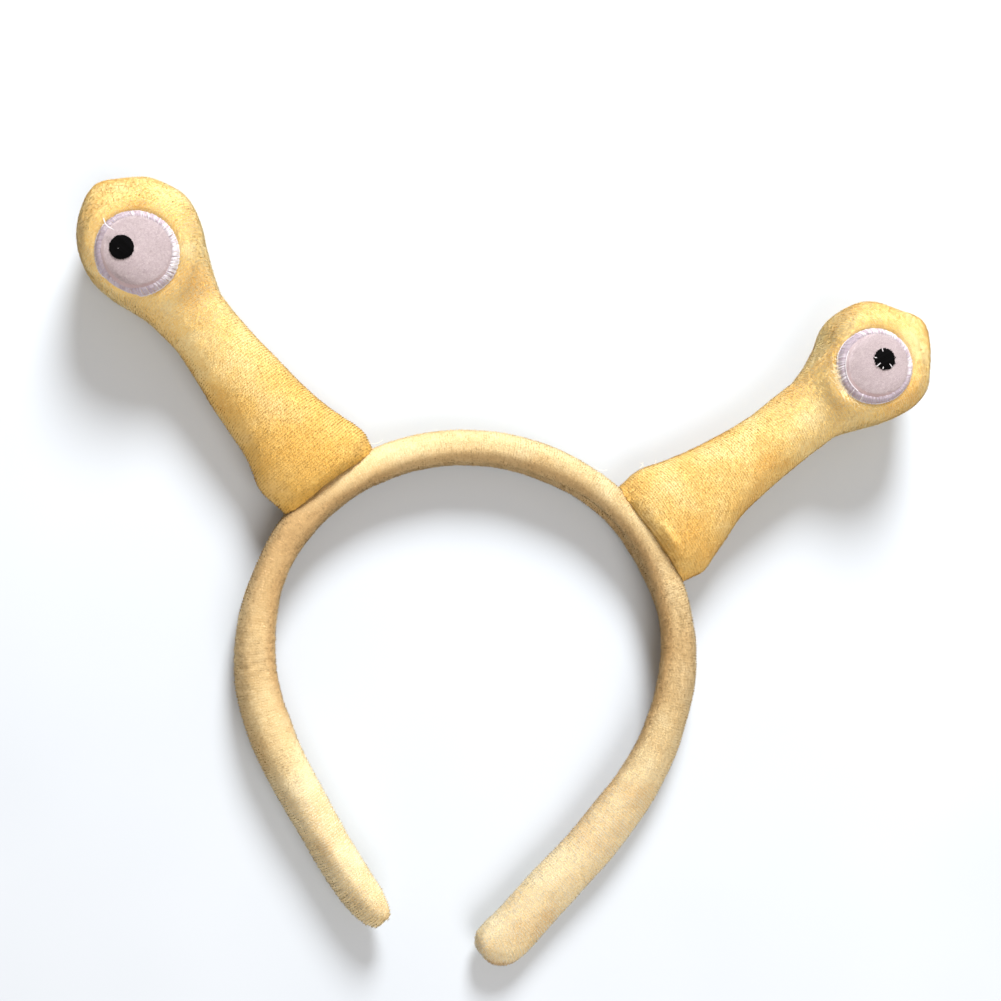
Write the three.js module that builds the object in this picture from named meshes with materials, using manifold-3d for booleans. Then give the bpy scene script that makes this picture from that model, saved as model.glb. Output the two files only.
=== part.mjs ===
// Snail eye headband: an open padded hoop with two stuffed eye stalks sewn to its outside.
// Millimetres. It lies on its back: +X to the right seen from the front, +Y from the two
// tips toward the crown, +Z up out of the front, where the eyes look.
import * as THREE from 'three';
import { mergeVertices } from 'three/addons/utils/BufferGeometryUtils.js';
import Module from 'manifold-3d';

const wasm = await Module();
wasm.setup();

// Hoop centreline: half an ellipse over the crown, an arc down each side, a straight leg
const HOOP_HALF_WIDTH = 66.4;
const CROWN_RISE = 62.2;
const LEFT_SIDE_RADIUS = 71;
const LEFT_LEG_LENGTH = 54;
const LEFT_TIP_ROUNDING = 10;
const RIGHT_SIDE_RADIUS = 79;
const RIGHT_LEG_LENGTH = 58.8;
const RIGHT_TIP_ROUNDING = 9;
const LEGS = [
  {
    side: -1, radius: LEFT_SIDE_RADIUS, turn: 37.6, length: LEFT_LEG_LENGTH,
    twist: 31, rounding: LEFT_TIP_ROUNDING,
  },
  {
    side: 1, radius: RIGHT_SIDE_RADIUS, turn: 36.5, length: RIGHT_LEG_LENGTH,
    twist: 69, rounding: RIGHT_TIP_ROUNDING,
  },
];

// Padded band: a domed outside and a flatter inside
const BAND_WIDTH = 17.5;
const BAND_THICKNESS = 10.5;
const BELLY_THICKNESS = 4;
const DOME_SQUARENESS = 2.2;
const BELLY_SQUARENESS = 4;
const TWIST_START = 39;

// Stuffed stalks and the flat left where the soft pieces rest
const LEFT_STALK_LENGTH = 110;
const RIGHT_STALK_LENGTH = 112.2;
const HEAD_HALF_WIDTH = 19.5;
const HEAD_DEPTH = 34;
const SEAT_HEIGHT = 10.6;
const SEAT_DEPTH = 3.5;
const REST_FLAT = 0.7;

// Eyes
const EYE_DIAMETER = 23.6;
const EDGING_WIDTH = 1.8;
const EDGING_THICKNESS = 1.5;
const EDGING_SHOULDER = 0.9;
const FELT_THICKNESS = 1;
const PUPIL_DIAMETER = 6.7;
const PUPIL_THICKNESS = 0.6;
const SEAM_GAP = 0.3;

// Facets
const CROWN_STEPS = 10;
const SIDE_STEPS = 5;
const LEG_STEPS = 7;
const TIP_STEPS = [0.45, 0.75, 0.93];
const PATCH_STEPS = [0.4, 0.75, 1];
const BAND_POINTS = 16;
const STALK_STEPS = 36;
const STALK_POINTS = 24;
const EYE_POINTS = 28;
const PUPIL_POINTS = 16;

const table = (columns, rows) => rows.map(
  (row) => Object.fromEntries(columns.map((column, i) => [column, row[i]])));

// Outlines hold half widths as shares of HEAD_HALF_WIDTH, at shares of the stalk's length
// from the hoop, and an eye's place is given in the same way. A pupil's place is in shares
// of the eye's radius.
const OUTLINE = ['at', 'outer', 'inner'];
const STALKS = [
  {
    name: 'left', side: -1, seat: 43.4, lean: 45.3, length: LEFT_STALK_LENGTH,
    eye: { at: 0.743, across: 0.215 }, pupil: { onward: 0.25, outward: 0.22 },
    outline: table(OUTLINE, [
      [-0.045, 0.84, 0.86],
      [0.03, 0.90, 0.94],
      [0.07, 0.95, 0.87],
      [0.11, 0.89, 0.80],
      [0.17, 0.80, 0.71],
      [0.25, 0.755, 0.625],
      [0.35, 0.705, 0.565],
      [0.46, 0.63, 0.487],
      [0.52, 0.615, 0.474],
      [0.57, 0.64, 0.487],
      [0.62, 0.665, 0.575],
      [0.68, 0.78, 0.75],
      [0.73, 0.895, 0.90],
      [0.785, 0.955, 0.99],
      [0.815, 0.925, 1],
      [0.865, 0.84, 0.885],
      [0.92, 0.66, 0.725],
      [0.95, 0.48, 0.52],
      [0.975, 0.28, 0.26],
      [1, 0, 0],
    ]),
  },
  {
    name: 'right', side: 1, seat: 39.5, lean: 45.9, length: RIGHT_STALK_LENGTH,
    eye: { at: 0.737, across: -0.02 }, pupil: { onward: 0.21, outward: -0.02 },
    outline: table(OUTLINE, [
      [-0.045, 0.90, 0.90],
      [0.01, 0.99, 0.99],
      [0.033, 1, 1],
      [0.06, 0.95, 0.985],
      [0.085, 0.91, 0.95],
      [0.14, 0.83, 0.845],
      [0.215, 0.705, 0.745],
      [0.32, 0.64, 0.63],
      [0.425, 0.603, 0.565],
      [0.53, 0.59, 0.563],
      [0.58, 0.59, 0.57],
      [0.635, 0.692, 0.65],
      [0.686, 0.825, 0.78],
      [0.74, 0.945, 0.92],
      [0.79, 1.01, 1],
      [0.843, 0.962, 0.974],
      [0.87, 0.91, 0.923],
      [0.895, 0.795, 0.833],
      [0.93, 0.56, 0.58],
      [0.965, 0.31, 0.31],
      [1, 0, 0],
    ]),
  },
];

// Front to back depth as a share of HEAD_DEPTH, how far the stalk's middle has risen from
// SEAT_HEIGHT to the head's own middle, and how square the section is (2 is an ellipse)
const DEPTHS = table(['at', 'depth', 'rise', 'square'], [
  [-0.045, 0.52, 0, 2.2],
  [0, 0.57, 0, 2.2],
  [0.07, 0.61, 0, 2.1],
  [0.2, 0.62, 0.06, 2.1],
  [0.35, 0.61, 0.2, 2.1],
  [0.5, 0.61, 0.42, 2.2],
  [0.57, 0.66, 0.58, 2.5],
  [0.62, 0.80, 0.78, 2.8],
  [0.67, 0.92, 0.93, 3.1],
  [0.73, 0.99, 1, 3.2],
  [0.79, 1, 1, 3.2],
  [0.85, 0.98, 1, 3],
  [0.90, 0.86, 1, 2.7],
  [0.94, 0.66, 1, 2.4],
  [0.975, 0.38, 1, 2.2],
  [1, 0, 1, 2],
]);

const MATERIALS = {
  band: { color: '#efe1b6', roughness: 0.95, metalness: 0 },
  stalk: { color: '#f2d68c', roughness: 0.95, metalness: 0 },
  felt: { color: '#e9e5ee', roughness: 0.9, metalness: 0 },
  edging: { color: '#f4f2f8', roughness: 0.55, metalness: 0 },
  pupil: { color: '#131318', roughness: 0.6, metalness: 0 },
};

const UP = new THREE.Vector3(0, 0, 1);
const radians = THREE.MathUtils.degToRad;

// A smooth curve through one column of a table
function reading(rows, column, at) {
  const last = rows.length - 1;
  const slope = (k) => {
    const before = rows[Math.max(k - 1, 0)];
    const after = rows[Math.min(k + 1, last)];
    return (after[column] - before[column]) / (after.at - before.at);
  };
  const passed = rows.filter((row) => row.at <= at).length;
  const i = THREE.MathUtils.clamp(passed - 1, 0, last - 1);
  const span = rows[i + 1].at - rows[i].at;
  const t = (at - rows[i].at) / span;
  const [t2, t3] = [t * t, t * t * t];
  return (2 * t3 - 3 * t2 + 1) * rows[i][column] + (t3 - 2 * t2 + t) * span * slope(i)
    + (3 * t2 - 2 * t3) * rows[i + 1][column] + (t3 - t2) * span * slope(i + 1);
}

// A superellipse: sides flatter than a circle's above a power of 2
const bulge = (value, power) => Math.sign(value) * Math.abs(value) ** (2 / power);

// Joins rings of points into a closed skin, ending in the two points or, without them,
// in itself. Rings run anticlockwise seen from the end.
function skin(rings, ends) {
  const count = rings[0].length;
  const faces = [];
  const links = ends ? rings.length - 1 : rings.length;
  for (let i = 0; i < links; i++) {
    for (let j = 0; j < count; j++) {
      const here = i * count;
      const next = ((i + 1) % rings.length) * count;
      const k = (j + 1) % count;
      faces.push(here + j, here + k, next + k, here + j, next + k, next + j);
    }
  }
  const points = rings.flat();
  if (ends) {
    const top = (rings.length - 1) * count;
    const tip = points.length;
    for (let j = 0; j < count; j++) {
      const k = (j + 1) % count;
      faces.push(tip, k, j, tip + 1, top + j, top + k);
    }
    points.push(...ends);
  }
  const geometry = new THREE.BufferGeometry().setFromPoints(points);
  geometry.setIndex(faces);
  return geometry;
}

function solidOf(geometry) {
  const merged = mergeVertices(geometry);
  return new wasm.Manifold(new wasm.Mesh({
    numProp: 3,
    vertProperties: new Float32Array(merged.attributes.position.array),
    triVerts: new Uint32Array(merged.index.array),
  }));
}

function geometryOf(solid) {
  const { vertProperties, triVerts } = solid.getMesh();
  const geometry = new THREE.BufferGeometry();
  geometry.setAttribute('position', new THREE.BufferAttribute(vertProperties, 3));
  geometry.setIndex(new THREE.BufferAttribute(triVerts, 1));
  return geometry;
}

const resting = (point) => point.setZ(Math.max(point.z, 0));

// Stations of one half of the hoop from the crown to its tip: a point of the centreline,
// the way outward, the run past the hoop's widest point and how far the end has closed
function crownStation(side, angle) {
  const turn = radians(angle);
  const point = new THREE.Vector3(
    side * HOOP_HALF_WIDTH * Math.cos(turn), CROWN_RISE * Math.sin(turn), 0);
  const outward = new THREE.Vector3(
    side * Math.cos(turn) / HOOP_HALF_WIDTH, Math.sin(turn) / CROWN_RISE, 0).normalize();
  return { point, outward, run: -CROWN_RISE * turn, size: 1 };
}

function sideStation({ side, radius }, angle) {
  const turn = radians(angle);
  const outward = new THREE.Vector3(side * Math.cos(turn), -Math.sin(turn), 0);
  const point = new THREE.Vector3(side * (HOOP_HALF_WIDTH - radius), 0, 0)
    .addScaledVector(outward, radius);
  return { point, outward, run: radius * turn, size: 1 };
}

function legStation(leg, along, size) {
  const { point, outward, run } = sideStation(leg, leg.turn);
  const onward = new THREE.Vector3(outward.y * leg.side, -outward.x * leg.side, 0);
  return { point: point.addScaledVector(onward, along), outward, run: run + along, size };
}

function halfHoop(leg) {
  const stations = [];
  for (let i = 0; i < CROWN_STEPS; i++) {
    stations.push(crownStation(leg.side, 90 - (90 * i) / CROWN_STEPS));
  }
  for (let i = 0; i < SIDE_STEPS; i++) {
    stations.push(sideStation(leg, (leg.turn * i) / SIDE_STEPS));
  }
  const straight = leg.length - leg.rounding;
  for (let i = 0; i <= LEG_STEPS; i++) {
    stations.push(legStation(leg, (straight * i) / LEG_STEPS, 1));
  }
  for (const step of TIP_STEPS) {
    const size = Math.sqrt(1 - step * step);
    stations.push(legStation(leg, straight + step * leg.rounding, size));
  }
  const end = legStation(leg, leg.length, 0);
  stations.push(end);
  return stations.map((station) => {
    const share = Math.max((station.run + TWIST_START) / (end.run + TWIST_START), 0);
    return { ...station, twist: leg.twist * Math.sin((share * Math.PI) / 2) };
  });
}

// The band's section at a station, grown all round by a margin, lowered so that its
// lowest edge is pressed flat where it rests
function bandRing(station, margin) {
  const turn = radians(station.twist);
  const across = UP.clone().multiplyScalar(Math.cos(turn))
    .addScaledVector(station.outward, -Math.sin(turn));
  const outside = station.outward.clone().multiplyScalar(Math.cos(turn))
    .addScaledVector(UP, Math.sin(turn));
  const fold = BELLY_THICKNESS - BAND_THICKNESS / 2;
  const dome = BAND_THICKNESS - BELLY_THICKNESS;
  const section = (grown, size) => Array.from({ length: BAND_POINTS }, (_, i) => {
    const angle = (2 * Math.PI * i) / BAND_POINTS;
    const [out, wide] = [Math.cos(angle), Math.sin(angle)];
    const power = out < 0 ? BELLY_SQUARENESS : DOME_SQUARENESS;
    const depth = bulge(out, power) * ((out < 0 ? BELLY_THICKNESS : dome) + grown);
    return new THREE.Vector3()
      .addScaledVector(across, size * bulge(wide, power) * (BAND_WIDTH / 2 + grown))
      .addScaledVector(outside, size * (fold + depth));
  });
  const lowest = Math.min(...section(0, 1).map((point) => point.z));
  const middle = station.point.clone().setZ(-lowest - REST_FLAT);
  if (station.size === 0) return [middle];
  return section(margin, station.size).map((point) => resting(point.add(middle)));
}

function bandSkin(margin) {
  const [left, right] = LEGS.map(halfHoop);
  const rings = [...left.reverse(), ...right.slice(1)].map(
    (station) => bandRing(station, margin));
  const [start] = rings.shift();
  const [end] = rings.pop();
  return skin(rings, [start, end]);
}

// A stalk's own frame: where its axis leaves the band, the way along it and the way outward
function stalkFrame(stalk) {
  const { point, outward } = crownStation(stalk.side, stalk.seat);
  const lean = radians(stalk.lean);
  return {
    seat: point.addScaledVector(outward, BAND_THICKNESS / 2),
    onward: new THREE.Vector3(stalk.side * Math.sin(lean), Math.cos(lean), 0),
    outer: new THREE.Vector3(stalk.side * Math.cos(lean), -Math.sin(lean), 0),
  };
}

const stalkPoint = ({ seat, onward, outer }, along, across, height) =>
  seat.clone().addScaledVector(onward, along).addScaledVector(outer, across).setZ(height);

function stalkSection(stalk, at) {
  const size = (rows, column) => Math.max(reading(rows, column, at), 0);
  const top = HEAD_DEPTH / 2 - REST_FLAT;
  return {
    outer: HEAD_HALF_WIDTH * size(stalk.outline, 'outer'),
    inner: HEAD_HALF_WIDTH * size(stalk.outline, 'inner'),
    depth: (HEAD_DEPTH / 2) * size(DEPTHS, 'depth'),
    square: size(DEPTHS, 'square'),
    height: THREE.MathUtils.lerp(SEAT_HEIGHT, top, size(DEPTHS, 'rise')),
  };
}

function stalkRing(stalk, frame, at) {
  const { outer, inner, depth, height, square } = stalkSection(stalk, at);
  return Array.from({ length: STALK_POINTS }, (_, i) => {
    const angle = (2 * Math.PI * i) / STALK_POINTS;
    const outward = stalk.side * bulge(Math.sin(angle), square);
    const across = outward * (outward > 0 ? outer : inner);
    const lift = depth * bulge(Math.cos(angle), square);
    return resting(stalkPoint(frame, at * stalk.length, across, height + lift));
  });
}

function stalkSkin(stalk) {
  const frame = stalkFrame(stalk);
  const start = -SEAT_DEPTH / stalk.length;
  const rings = [];
  for (let i = 0; i < STALK_STEPS; i++) {
    rings.push(stalkRing(stalk, frame, THREE.MathUtils.lerp(start, 1, i / STALK_STEPS)));
  }
  const end = (at) => stalkPoint(frame, at * stalk.length, 0, stalkSection(stalk, at).height);
  return skin(rings, [end(start), end(1)]);
}

// Height of the head's front over a point of the stalk's frame
function frontHeight(stalk, along, across) {
  const section = stalkSection(stalk, along / stalk.length);
  const { outer, inner, depth, height, square } = section;
  const aside = Math.min(Math.abs(across) / (across > 0 ? outer : inner), 1);
  return height + depth * (1 - aside ** square) ** (1 / square);
}

// The middles of an eye and its pupil in the stalk's frame
function eyeSpots({ eye, pupil, length }) {
  const along = eye.at * length;
  const across = eye.across * HEAD_HALF_WIDTH;
  const radius = EYE_DIAMETER / 2;
  return {
    eye: { along, across },
    pupil: { along: along + pupil.onward * radius, across: across + pupil.outward * radius },
  };
}

// A point at a radius and angle round a spot on the head, at a lift above its front
function facePoint(stalk, spot, radius, angle, lift) {
  const along = spot.along + radius * Math.cos(angle);
  const across = spot.across + stalk.side * radius * Math.sin(angle);
  const height = frontHeight(stalk, along, across) + lift;
  return stalkPoint(stalkFrame(stalk), along, across, height);
}

// A round flat piece lying on the head's front
function patch(stalk, spot, radius, points, low, high) {
  const ring = (share, lift) => Array.from({ length: points }, (_, i) =>
    facePoint(stalk, spot, share * radius, (-2 * Math.PI * i) / points, lift));
  const under = PATCH_STEPS.map((share) => ring(share, low));
  const over = PATCH_STEPS.map((share) => ring(share, high)).reverse();
  const rings = [...under, ...over];
  const ends = [low, high].map((lift) => facePoint(stalk, spot, 0, 0, lift));
  return skin(rings, ends);
}

function edging(stalk, spot) {
  const outer = EYE_DIAMETER / 2;
  const inner = outer - EDGING_WIDTH;
  const low = SEAM_GAP;
  const shoulder = low + EDGING_SHOULDER;
  const profile = [
    [(inner + outer) / 2, low + EDGING_THICKNESS],
    [outer, shoulder],
    [outer, low],
    [inner, low],
    [inner, shoulder],
  ];
  const rings = Array.from({ length: EYE_POINTS }, (_, i) => profile.map(([radius, lift]) =>
    facePoint(stalk, spot, radius, (-2 * Math.PI * i) / EYE_POINTS, lift)));
  return skin(rings);
}

const group = new THREE.Group();

function add(name, finish, geometry) {
  const mesh = new THREE.Mesh(geometry, new THREE.MeshStandardMaterial(MATERIALS[finish]));
  mesh.name = name;
  group.add(mesh);
}

// The room that an eye and its seam gap take up in the head's front
function eyeSeat(stalk, spot) {
  const room = EYE_DIAMETER / 2 + SEAM_GAP;
  return solidOf(patch(stalk, spot, room, EYE_POINTS, 0, HEAD_DEPTH / 2));
}

add('band_cover', 'band', bandSkin(0));

const bandSeat = solidOf(bandSkin(SEAM_GAP));
const feltRadius = EYE_DIAMETER / 2 - EDGING_WIDTH - SEAM_GAP;
const feltTop = SEAM_GAP + FELT_THICKNESS;
const pupilLow = feltTop + SEAM_GAP;
const pupilTop = pupilLow + PUPIL_THICKNESS;
for (const stalk of STALKS) {
  const { eye, pupil } = eyeSpots(stalk);
  const body = solidOf(stalkSkin(stalk)).subtract(bandSeat).subtract(eyeSeat(stalk, eye));
  const felt = patch(stalk, eye, feltRadius, EYE_POINTS, SEAM_GAP, feltTop);
  const spot = patch(stalk, pupil, PUPIL_DIAMETER / 2, PUPIL_POINTS, pupilLow, pupilTop);
  add(`${stalk.name}_stalk`, 'stalk', geometryOf(body));
  add(`${stalk.name}_eye_felt`, 'felt', felt);
  add(`${stalk.name}_eye_edging`, 'edging', edging(stalk, eye));
  add(`${stalk.name}_pupil`, 'pupil', spot);
}

// The origin is under the middle of the part, on the surface that it lies on
const box = new THREE.Box3().setFromObject(group);
const middle = box.getCenter(new THREE.Vector3());
group.position.set(-middle.x, -middle.y, -box.min.z);

export default group;
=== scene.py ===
"""Looks of the snail eye headband: velvet with a real pile, felt eyes, satin stitched edgings."""

import math

import bmesh
import bpy
import numpy as np
from mathutils import Matrix, Vector
from mathutils.bvhtree import BVHTree
from mathutils.kdtree import KDTree


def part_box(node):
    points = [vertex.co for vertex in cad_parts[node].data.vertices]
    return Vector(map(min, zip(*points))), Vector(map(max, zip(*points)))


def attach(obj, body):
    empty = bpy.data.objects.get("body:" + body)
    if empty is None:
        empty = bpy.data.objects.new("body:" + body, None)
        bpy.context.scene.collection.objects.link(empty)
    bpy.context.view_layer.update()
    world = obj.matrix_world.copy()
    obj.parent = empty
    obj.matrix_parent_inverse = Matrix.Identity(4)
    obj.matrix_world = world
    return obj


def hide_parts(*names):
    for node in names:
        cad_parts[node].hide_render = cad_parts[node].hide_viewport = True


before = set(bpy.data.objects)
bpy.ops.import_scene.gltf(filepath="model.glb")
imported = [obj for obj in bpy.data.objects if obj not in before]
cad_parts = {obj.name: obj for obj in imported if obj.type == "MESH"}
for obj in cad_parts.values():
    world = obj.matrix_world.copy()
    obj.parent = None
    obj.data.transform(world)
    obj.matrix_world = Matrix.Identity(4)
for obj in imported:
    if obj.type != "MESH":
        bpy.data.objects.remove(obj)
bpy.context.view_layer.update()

MM = 0.001
SIDES = ("left", "right")
UP = np.array([0, 0, 1.0])

# Camera, as it stands to the headband in the photograph
PHOTO_WIDTH = 1001
FOCAL_PIXELS = 1280
SENSOR = 36
CAMERA_TARGET = Vector((0.92, 29.83, 10)) * MM
CAMERA_DISTANCE = 400 * MM
CAMERA_YAW = math.radians(9)
CAMERA_PITCH = math.radians(7)
CAMERA_ROLL = math.radians(6.3)

# Studio. For each lamp: the way it stands, its distance and size in metres, watts and colour
LIGHTS = {
    "key": ((0.02, 0.95, 0.7), 1.1, 0.4, 19, (1.0, 0.98, 0.95)),
    "fill": ((0.3, -0.6, 0.9), 1.3, 1.0, 9.5, (1.0, 0.96, 0.90)),
}
BACKDROP_COLOUR = (1.0, 0.86, 0.74)
BACKDROP_STRENGTH = 0.42
FLOOR_TONES = ((0.58, 0.64, 0.72), (0.61, 0.67, 0.75))
FLOOR_REACH = 3.0

# How strong the painted shade, a golden cast, is on each stalk: by the seam, on its lower
# half, on the side of its neck, over the eye and underneath
SEAM_PAINTED_SHADE = {"left": 0.35, "right": 0.2}
LOW_PAINTED_SHADE = {"left": 0.5, "right": 0.2}
NECK_PAINTED_SHADE = {"left": 0.5, "right": 0}
EYE_PAINTED_SHADE = 0.22
UNDER_PAINTED_SHADE = 0.6
# Painted light that makes the pile paler at the heads and down each leg, and painted shade that
# makes it deeper at the feet
HEAD_PAINTED_LIGHT = 0.32
LEG_PAINTED_LIGHT = {"left": 0.6, "right": 0.9}
FOOT_PAINTED_SHADE = 0.3
# Where painted light makes the right head's pile paler on its inner side, as a pixel of the
# photograph
PAINTED_LIGHT_SPOT = (824, 368)
# Where painted shade deepens on the band, beside the left stalk as its painted shadow and down both
# sides: run and spread in mm, and strength
BAND_PAINTED_SHADE = ((126, 20, 1.6), (92, 22, 0.8), (290, 28, 1.2))

# Stray fibres: both ends as pixels of the photograph, height above the floor and sag in mm
STRAYS = (
    ((369, 443), (383, 440), 9, 0.6), ((590, 454), (600, 453), 9, 0.9),
    ((594, 466), (607, 470), 10, 0.7), ((930, 373.5), (937.5, 367), 13, 0.3),
    ((640, 468), (643, 462), 8, 0.3), ((643, 467), (640, 463), 8, 0.4),
    ((653, 465), (656, 460), 8, 0.3),
)
LOOSE_END = ((103.5, 218), (113.5, 229.5))
SEAM_FOLD = ((650, 524), (670, 555))
SEAM_MIDDLE = (325, 485)

# Velvet skins
CROWN_RADIUS = 70 * MM
HOOP_SAMPLES = 60000
HOOP_BINS = 110
CAP_STEPS = (0.3, 0.55, 0.75, 0.9)
BAND_STEP = 1.35 * MM
BAND_AROUND = 32
STALK_VOXEL = 1.1 * MM
BAND_INSET = 0.4 * MM
STALK_INSET = 0.35 * MM
FACET_ROUNDS = 26
SWELL_PRESSURE = 30
SWELL_MASS = 0.03
SWELL_FRAMES = 20
BAND_SWELL = 0.35 * MM
STALK_SWELL = 0.6 * MM
REST_CLEARANCE = 0.25 * MM
# Where the band's outer and inner sides stand out or in: run, spread and push, all in mm
OUTER_SIDE = (
    (4, 9, -1.2), (82, 14, 0.7), (112, 10, -0.6), (300, 14, 0.4), (334, 14, 0.3), (362, 16, 1.1))
INNER_SIDE = (
    (24, 17, -1.2), (66, 12, 1.2), (117, 9, -1.1), (240, 14, -1.4), (270, 8, 0.5), (363, 11, -0.9))
# Unevenness of the skins: size and height in mm, and seed
BAND_UNEVEN = ((7, 0.14, 3), (3, 0.08, 4))
STALK_UNEVEN = ((11, 0.2, 5), (4.5, 0.1, 6))
GATHERS_RUN = 192 * MM
GROOVE_RUN = 289 * MM
RIPPLES_RUN = 86 * MM
RIPPLE_PITCH = 3 * MM
RUFFLE_PITCH = 2.3 * MM
SEAM_CLEARANCE = 0.08 * MM
SEAM_REACH = 4.5 * MM
SEAM_BACK = 1.3 * MM

# Velvet pile
BAND_BLADES = 140000
STALK_BLADES = 154000
FELT_FIBRES = 16000
BLADE_LENGTH = 0.75 * MM
BLADE_WIDTH = 0.15 * MM
NAP_LEAN = math.radians(52)
TUFT = 0.62 * MM
RIB_PITCH = 0.8 * MM
RIB_DRAW = 0.6

FIBRE_RADIUS = 0.09 * MM

# Eyes
GROOVE_DEPTH = 0.8 * MM
GROOVE_WIDTH = 0.8 * MM
PUFF_HEIGHT = 0.5 * MM
PUFF_REACH = 3.2 * MM
THREAD_DIAMETER = 0.26 * MM
THREAD_SIDES = 6
EDGING_HEIGHT = 0.45 * MM
FELT_HEIGHT = 0.5 * MM
EYE_DROP = 8 * MM
# Where a head's outline stands out or in: angle, spread in degrees and push in mm
CORNERS = {
    "left": ((140, 14, 0.6), (185, 20, 0.5), (105, 12, -0.6), (60, 25, -0.5), (30, 28, -1.0)),
    "right": ((98, 20, 1.3), (46, 15, 2.5), (154, 26, -3.0), (6, 16, -1.8), (-35, 16, -0.6)),
}
# The same for the band's tips, seen from a pixel of the photograph inside each
TIPS = (((369, 903), ((-30, 26, 1.2),)), ((506, 934), ((205, 36, 3.4),)))
# Where the pile is combed over an edging: angle and spread in degrees, and how much longer
COMBED = {"left": (180, 35, 0.5), "right": (205, 42, 2.2)}
# Gaps in a pupil's stitches, and on the left pupil a painted glint: angle, and start and end as
# shares of its radius
PUPIL_GAPS_AND_GLINT = {
    "left": ((215, 0.16, 0.3),),
    "right": (
        (112, 0.7, 1.05), (180, 0.8, 1.0), (228, 0.6, 1.05), (262, 0.75, 0.95), (318, 0.6, 1)),
}
# Where the stitches of an edging are painted white as glints: angle, spread in degrees and strength
GLINTS = {
    "left": ((5, 48, 0.9), (95, 25, 0.25)),
    "right": ((6, 16, 0.9), (75, 38, 0.6), (205, 30, 0.35)),
}


def unit(vectors):
    return vectors / np.maximum(np.linalg.norm(vectors, axis=-1, keepdims=True), 1e-12)


def ease(value, low, high):
    """0 below low, 1 above high, smooth between them"""
    t = np.clip((value - low) / (high - low), 0, 1)
    return t * t * (3 - 2 * t)


def hump(value, middle, width):
    return np.exp(-(((value - middle) / width) ** 2))


def bearing(away):
    """The angle of each way seen from above, in degrees"""
    return np.degrees(np.arctan2(away[:, 1], away[:, 0]))


def turned(angle, middle):
    """How far an angle is from a middle one, from -180 to 180 degrees"""
    return (angle - middle + 180) % 360 - 180


def bumps(points, size, seed):
    """Smooth random numbers from -1 to 1, in lumps about that size across"""
    cells = 32
    lattice = np.random.default_rng(seed).uniform(-1, 1, (cells, cells, cells))
    place = points / size + 500.0
    base = np.floor(place).astype(int)
    t = place - base
    t = t * t * (3 - 2 * t)
    total = np.zeros(len(points))
    for corner in np.ndindex(2, 2, 2):
        index = (base + corner) % cells
        share = np.prod(np.where(corner, t, 1 - t), axis=1)
        total += share * lattice[index[:, 0], index[:, 1], index[:, 2]]
    return total


def uneven(points, rows):
    return sum(height * bumps(points, size * MM, seed) for size, height, seed in rows)


def camera_axes():
    back = Vector((-math.tan(CAMERA_YAW), -math.tan(CAMERA_PITCH), 1)).normalized()
    flat_right = Vector((0, 1, 0)).cross(back).normalized()
    flat_up = back.cross(flat_right)
    right = flat_right * math.cos(CAMERA_ROLL) + flat_up * math.sin(CAMERA_ROLL)
    up = flat_up * math.cos(CAMERA_ROLL) - flat_right * math.sin(CAMERA_ROLL)
    return right, up, back


def seen(pixel, height):
    """The place at a height above the floor that shows at a pixel of the photograph"""
    right, up, back = camera_axes()
    eye = CAMERA_TARGET + back * CAMERA_DISTANCE
    x, y = ((value - PHOTO_WIDTH / 2) / FOCAL_PIXELS for value in pixel)
    ray = right * x - up * y - back
    return np.array(eye + ray * ((height - eye.z) / ray.z))


# Meshes as arrays

def points_of(mesh):
    found = np.empty(len(mesh.vertices) * 3, np.float32)
    mesh.vertices.foreach_get("co", found)
    return found.reshape(-1, 3).astype(float)


def set_points(mesh, points):
    mesh.vertices.foreach_set("co", points.astype(np.float32).ravel())
    mesh.update()


def edges_of(mesh):
    found = np.empty(len(mesh.edges) * 2, np.int32)
    mesh.edges.foreach_get("vertices", found)
    return found.reshape(-1, 2)


def triangles_of(mesh):
    mesh.calc_loop_triangles()
    found = np.empty(len(mesh.loop_triangles) * 3, np.int32)
    mesh.loop_triangles.foreach_get("vertices", found)
    return found.reshape(-1, 3)


def corners_of(points, triangles):
    return (points[triangles[:, k]] for k in range(3))


def areas_of(points, triangles):
    """Twice the area of each triangle"""
    a, b, c = corners_of(points, triangles)
    return np.linalg.norm(np.cross(b - a, c - a), axis=1)


def normals_of(points, triangles):
    a, b, c = corners_of(points, triangles)
    face = np.cross(b - a, c - a)
    total = np.zeros_like(points)
    for k in range(3):
        np.add.at(total, triangles[:, k], face)
    return unit(total)


def tree_of(obj):
    mesh = obj.data
    return BVHTree.FromPolygons(points_of(mesh).tolist(), triangles_of(mesh).tolist())


def ring_quads(index):
    """Quads between each ring of points and the next"""
    quads = np.stack([
        index[:-1], np.roll(index[:-1], -1, 1), np.roll(index[1:], -1, 1), index[1:]], -1)
    return quads.reshape(-1, 4)


def new_object(name, points, faces, material):
    count, corners = faces.shape
    mesh = bpy.data.meshes.new(name)
    mesh.vertices.add(len(points))
    mesh.vertices.foreach_set("co", points.astype(np.float32).ravel())
    mesh.loops.add(count * corners)
    mesh.loops.foreach_set("vertex_index", faces.astype(np.int32).ravel())
    mesh.polygons.add(count)
    starts = np.arange(0, count * corners, corners, dtype=np.int32)
    mesh.polygons.foreach_set("loop_start", starts)
    mesh.polygons.foreach_set("use_smooth", np.full(count, True))
    mesh.update(calc_edges=True)
    mesh.materials.append(material)
    obj = bpy.data.objects.new(name, mesh)
    bpy.context.scene.collection.objects.link(obj)
    return obj


def set_number(mesh, name, values):
    layer = mesh.attributes.new(name, "FLOAT", "POINT")
    layer.data.foreach_set("value", np.asarray(values, np.float32))


def applied(obj):
    """The mesh with its modifiers applied"""
    shown = obj.evaluated_get(bpy.context.evaluated_depsgraph_get())
    mesh = bpy.data.meshes.new_from_object(shown)
    obj.modifiers.clear()
    obj.data = mesh
    return obj


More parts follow.
